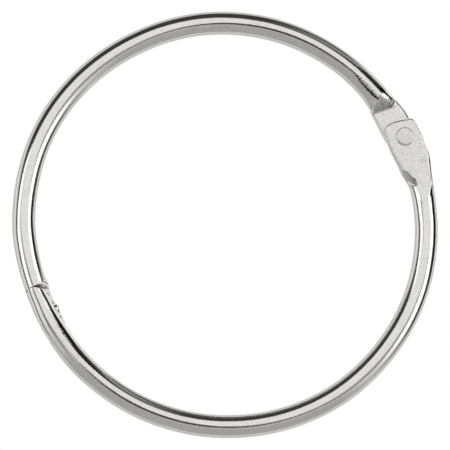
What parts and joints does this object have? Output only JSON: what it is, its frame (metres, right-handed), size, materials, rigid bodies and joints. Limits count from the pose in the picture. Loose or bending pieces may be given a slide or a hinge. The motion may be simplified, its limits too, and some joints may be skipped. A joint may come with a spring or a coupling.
{
  "type": "binder ring",
  "caption": "Hinged round-wire ring with a riveted lap joint at the hinge and a hooked half-lap snap opposite, for keeping punched sheets or cards together.",
  "frame": {"origin": "centre of the closed ring's wire centre circle, in the wire's mid-plane", "axes": "+Z square to the ring's plane, along the hinge rivet; +X from the centre to the hinge; +Y to the half that carries the rivet. The ring lies flat with its wire's underside at z = -1.525 mm."},
  "size_m": [0.0574, 0.0568, 0.003],
  "materials": {
    "nickel_wire": "bright nickel-plated drawn steel wire, satin where it was pressed flat",
    "nickel_rivet": "nickel-plated steel rivet, peened head"
  },
  "bodies": {
    "rivet_side": {"rivet_half": "nickel_wire", "hinge_rivet": "nickel_rivet"},
    "swing_side": {"swing_half": "nickel_wire"}
  },
  "joints": [
    {"name": "ring_hinge", "type": "hinge", "parent": "rivet_side", "child": "swing_side", "pos_m": [0.02675, 0, 0], "axis": [0, 0, 1], "range_deg": [0, 140]}
  ]
}
